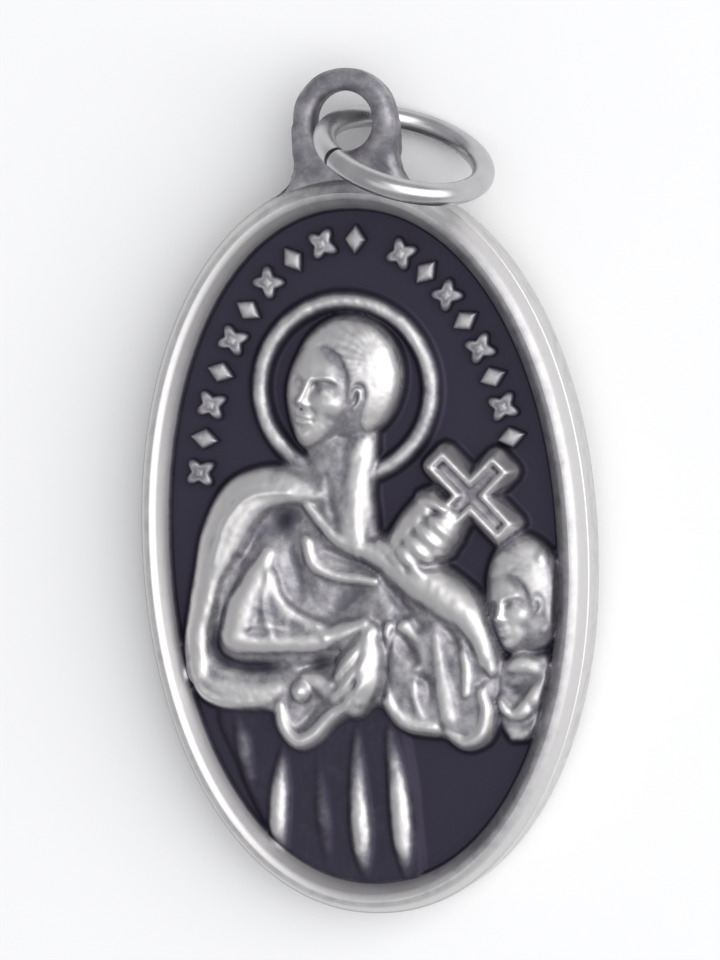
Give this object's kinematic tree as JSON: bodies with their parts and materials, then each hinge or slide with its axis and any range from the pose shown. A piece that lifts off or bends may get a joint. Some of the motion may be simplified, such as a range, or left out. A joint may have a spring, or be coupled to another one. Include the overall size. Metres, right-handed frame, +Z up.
{
  "type": "religious medal pendant",
  "caption": "Oval silver tone devotional medal with a raised rim, a haloed half figure holding a cross in relief, a cast hanging ear and a wire jump ring.",
  "frame": {"origin": "middle of the bounding box on the table that the medal lies on", "axes": "+Y along the medal towards its ear and jump ring, +X to the right of the face, +Z up out of the face"},
  "size_m": [0.014, 0.0254, 0.0052],
  "materials": {
    "antiqued_silver": "die cast silver tone metal, antiqued: bright on the raised relief, blue black in the recesses",
    "ring_wire": "bright drawn steel wire, slightly dulled"
  },
  "bodies": {
    "root": {"medal": "antiqued_silver", "jump_ring": "ring_wire"}
  },
  "joints": []
}
